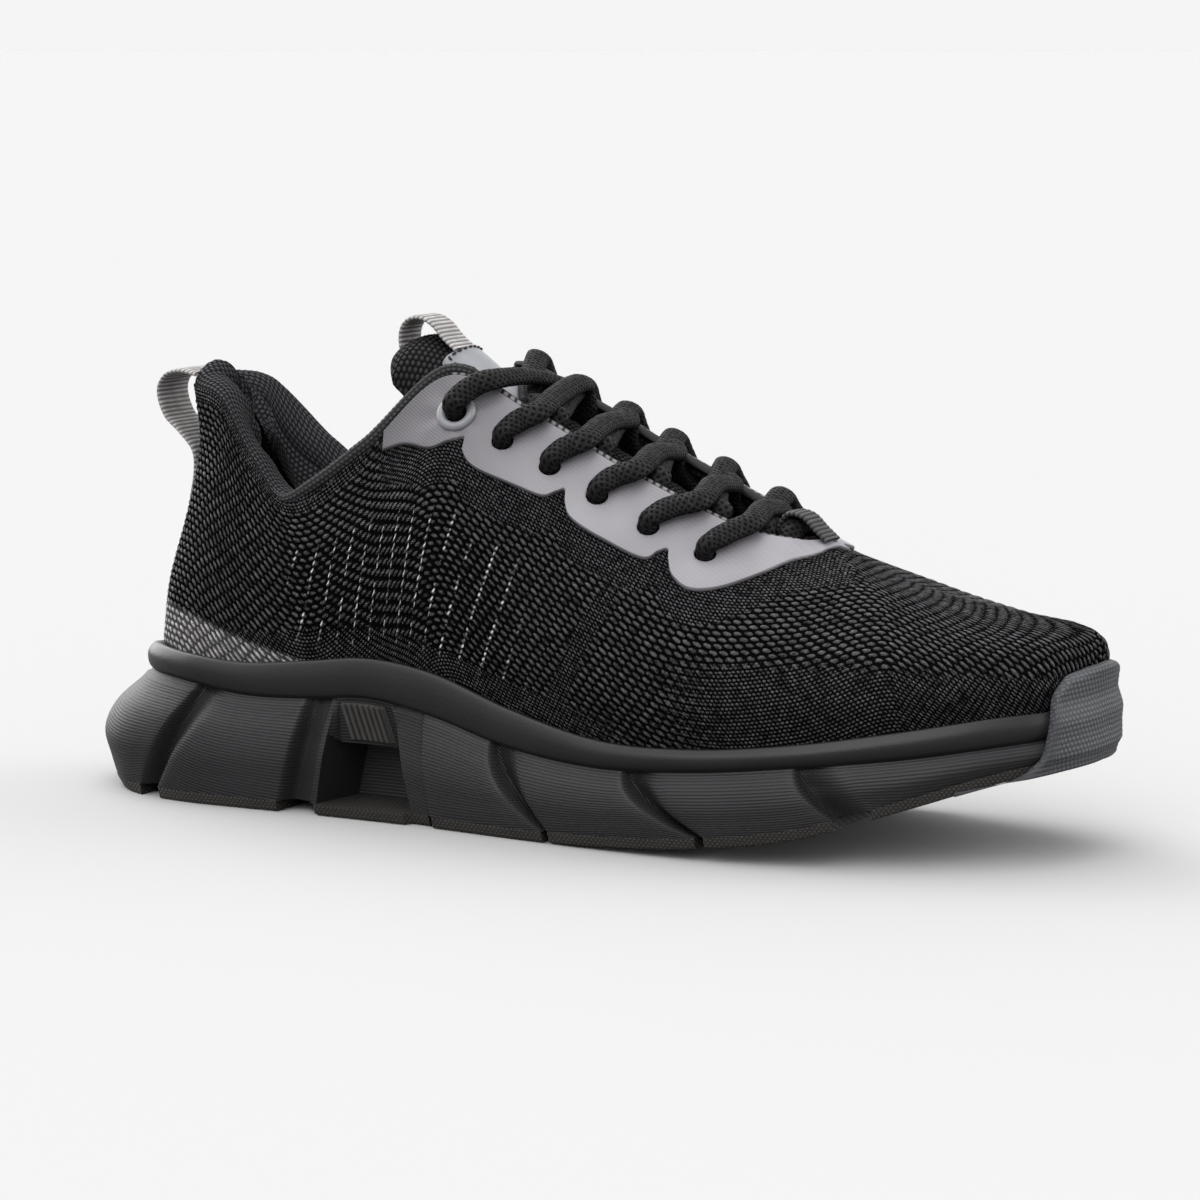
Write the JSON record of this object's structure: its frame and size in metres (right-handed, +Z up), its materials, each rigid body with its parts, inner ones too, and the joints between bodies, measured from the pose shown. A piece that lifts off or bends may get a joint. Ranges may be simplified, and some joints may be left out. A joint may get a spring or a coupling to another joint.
{
  "type": "running shoe",
  "caption": "Right knit running shoe with a laced film eyestay, padded tongue and collar, pull loops, a thick grooved foam sole on rubber pads and a toe bumper",
  "frame": {"origin": "on the ground, under the middle of the overall length and width", "axes": "+X from the heel to the toe, +Y from the outer to the inner side of the foot, +Z up"},
  "size_m": [0.3022, 0.1036, 0.1365],
  "materials": {
    "sole_foam": "satin, fine leathery grain",
    "sole_rubber": "matte, woven texture",
    "bumper_rubber": "matte, dotted",
    "knit": "matte engineered knit",
    "lining": "matte fine mesh",
    "padding": "open foam",
    "stiffener": "matte",
    "board": "matte felt board",
    "insole": "matte knit cover",
    "film": "satin film",
    "ring": "satin moulded",
    "binding": "matte knit",
    "webbing": "matte ribbed",
    "label": "glossy film",
    "tongue_mesh": "matte coarse mesh",
    "lace": "matte braid",
    "aglet": "glossy"
  },
  "bodies": {
    "shoe": {"midsole": "sole_foam", "arch_insert_outer": "sole_foam", "arch_insert_inner": "sole_foam", "toe_bumper": "bumper_rubber", "strobel_board": "board", "insole": "insole", "outsole_heel": "sole_rubber", "outsole_rear": "sole_rubber", "outsole_arch": "sole_rubber", "outsole_forefoot_rear": "sole_rubber", "outsole_forefoot_middle": "sole_rubber", "outsole_forefoot_front": "sole_rubber", "outsole_toe": "sole_rubber", "knit_upper": "knit", "heel_counter": "stiffener", "toe_puff": "stiffener", "collar_foam": "padding", "collar_lining": "lining", "vamp_lining": "lining", "eyestay": "film", "eyestay_backing": "lining", "eyelet_ring_outer": "ring", "eyelet_ring_inner": "ring", "topline_binding": "binding", "heel_strip": "webbing", "heel_loop": "webbing", "throat_bar": "webbing", "lace": "lace", "aglets": "aglet"},
    "tongue": {"tongue_shell": "tongue_mesh", "tongue_foam": "padding", "tongue_lining": "lining", "tongue_label": "label", "tongue_loop": "webbing"}
  },
  "joints": [
    {"name": "tongue_hinge", "type": "hinge", "parent": "shoe", "child": "tongue", "pos_m": [0.07279, 0.00418, 0.071], "axis": [0, 1, 0], "range_deg": [-8, 0], "stiffness_Nm_per_rad": 0.8}
  ]
}
